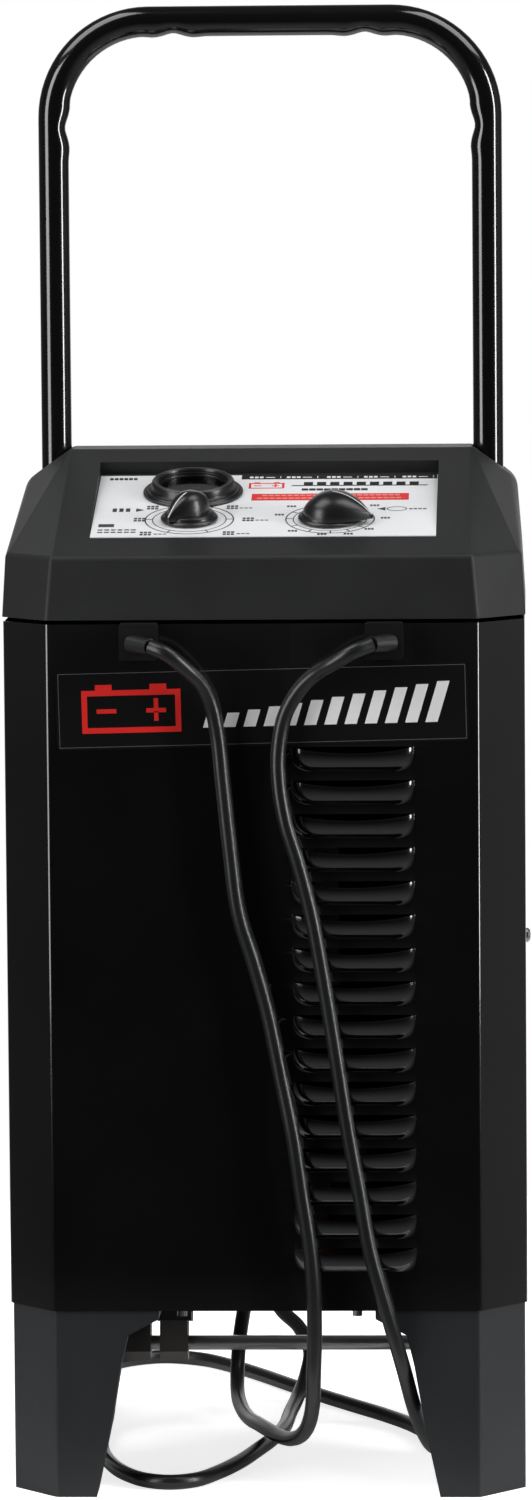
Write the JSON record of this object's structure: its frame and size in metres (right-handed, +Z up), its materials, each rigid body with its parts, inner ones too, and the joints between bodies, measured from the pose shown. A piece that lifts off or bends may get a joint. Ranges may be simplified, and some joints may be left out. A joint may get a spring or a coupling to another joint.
{
  "type": "battery charger",
  "caption": "Wheeled cabinet battery charger with louvred steel body, sloping control panel, push handle, front feet, rear wheels and cables with battery clamps.",
  "frame": {"origin": "on the floor, under the middle of the object", "axes": "+Z up, the front with the louvres and the control panel faces -Y, +X to the right seen from the front"},
  "size_m": [0.3228, 0.4673, 0.908],
  "materials": {
    "cover_plastic": "fine textured black plastic",
    "foot_plastic": "satin charcoal plastic",
    "panel_print": "printed silver film",
    "meter_plastic": "black moulded plastic",
    "meter_glass": "clear lens",
    "meter_face": "printed dark dial",
    "needle_paint": "painted needle",
    "knob_plastic": "black knob plastic",
    "bright_steel": "zinc plated steel",
    "switch_body": "phenolic",
    "cabinet_paint": "gloss black paint",
    "panel_paint": "black paint",
    "label_film": "printed black film",
    "gland_plastic": "black nylon",
    "cable_rubber": "black cable jacket",
    "wheel_plastic": "black hub plastic",
    "wheel_rubber": "black tread",
    "handle_paint": "gloss black powder coat",
    "core_steel": "varnished laminations",
    "frame_steel": "plain steel",
    "winding_wire": "enamelled wire in tape",
    "sink_metal": "mill aluminium",
    "clamp_metal": "copper plated steel",
    "grip_black": "black vinyl grip",
    "grip_red": "red vinyl grip"
  },
  "bodies": {
    "chassis": {"top_cover": "cover_plastic", "control_label": "panel_print", "meter_housing": "meter_plastic", "meter_lens": "meter_glass", "meter_dial": "meter_face", "rate_switch": "switch_body", "timer_clockwork": "bright_steel", "cabinet_wrap": "cabinet_paint", "rear_panel": "panel_paint", "base_plate": "panel_paint", "brand_label": "label_film", "gland_left": "gland_plastic", "gland_right": "gland_plastic", "boot_left": "cable_rubber", "boot_right": "cable_rubber", "foot_left": "foot_plastic", "foot_right": "foot_plastic", "axle": "bright_steel", "axle_brackets": "panel_paint", "axle_washers": "bright_steel", "axle_caps": "bright_steel", "handle": "handle_paint", "handle_saddles": "panel_paint", "handle_bolts": "bright_steel", "transformer_core": "core_steel", "primary_winding": "winding_wire", "secondary_winding": "winding_wire", "transformer_frame": "frame_steel", "transformer_bolts": "frame_steel", "heat_sink": "sink_metal", "diodes": "sink_metal", "circuit_breaker": "gland_plastic", "cord_hook_upper": "gland_plastic", "cord_hook_lower": "gland_plastic", "mains_bush": "gland_plastic", "case_screws": "bright_steel", "clamp_left_arm": "clamp_metal", "clamp_left_arm_grip": "grip_black", "clamp_right_arm": "clamp_metal", "clamp_right_arm_grip": "grip_red", "clamp_pins": "bright_steel", "clamp_springs": "bright_steel", "cable_left": "cable_rubber", "cable_left_hank": "cable_rubber", "cable_left_tail": "cable_rubber", "cable_right": "cable_rubber"},
    "meter_needle": {"meter_needle": "needle_paint"},
    "rate_knob": {"rate_knob": "knob_plastic", "rate_shaft": "bright_steel"},
    "timer_knob": {"timer_knob": "knob_plastic", "timer_shaft": "bright_steel"},
    "wheel_left": {"wheel_left_hub": "wheel_plastic", "wheel_left_tyre": "wheel_rubber"},
    "wheel_right": {"wheel_right_hub": "wheel_plastic", "wheel_right_tyre": "wheel_rubber"},
    "clamp_left_lever": {"clamp_left_lever": "clamp_metal", "clamp_left_lever_grip": "grip_black"},
    "clamp_right_lever": {"clamp_right_lever": "clamp_metal", "clamp_right_lever_grip": "grip_red"}
  },
  "joints": [
    {"name": "needle_swing", "type": "hinge", "parent": "chassis", "child": "meter_needle", "pos_m": [-0.046, -0.03264, 0.60054], "axis": [0, -0.2588, 0.9659], "range_deg": [-90, 0], "stiffness_Nm_per_rad": 0.0005},
    {"name": "rate_turn", "type": "hinge", "parent": "chassis", "child": "rate_knob", "pos_m": [-0.046, -0.07032, 0.59355], "axis": [0, -0.2588, 0.9659], "range_deg": [-180, 90]},
    {"name": "timer_turn", "type": "hinge", "parent": "chassis", "child": "timer_knob", "pos_m": [0.04, -0.07032, 0.59355], "axis": [0, -0.2588, 0.9659], "range_deg": [-180, 120]},
    {"name": "wheel_left_spin", "type": "hinge", "parent": "chassis", "child": "wheel_left", "pos_m": [-0.1325, 0.099, 0.0525], "axis": [1, 0, 0], "continuous": true},
    {"name": "wheel_right_spin", "type": "hinge", "parent": "chassis", "child": "wheel_right", "pos_m": [0.1325, 0.099, 0.0525], "axis": [1, 0, 0], "continuous": true},
    {"name": "clamp_left_squeeze", "type": "hinge", "parent": "chassis", "child": "clamp_left_lever", "pos_m": [-0.069, 0.10836, 0.09652], "axis": [-1, 0, 0], "range_deg": [0, 18], "stiffness_Nm_per_rad": 3, "springref_deg": -11.46},
    {"name": "clamp_right_squeeze", "type": "hinge", "parent": "chassis", "child": "clamp_right_lever", "pos_m": [-0.093, 0.10836, 0.09652], "axis": [-1, 0, 0], "range_deg": [0, 18], "stiffness_Nm_per_rad": 3, "springref_deg": -11.46}
  ]
}
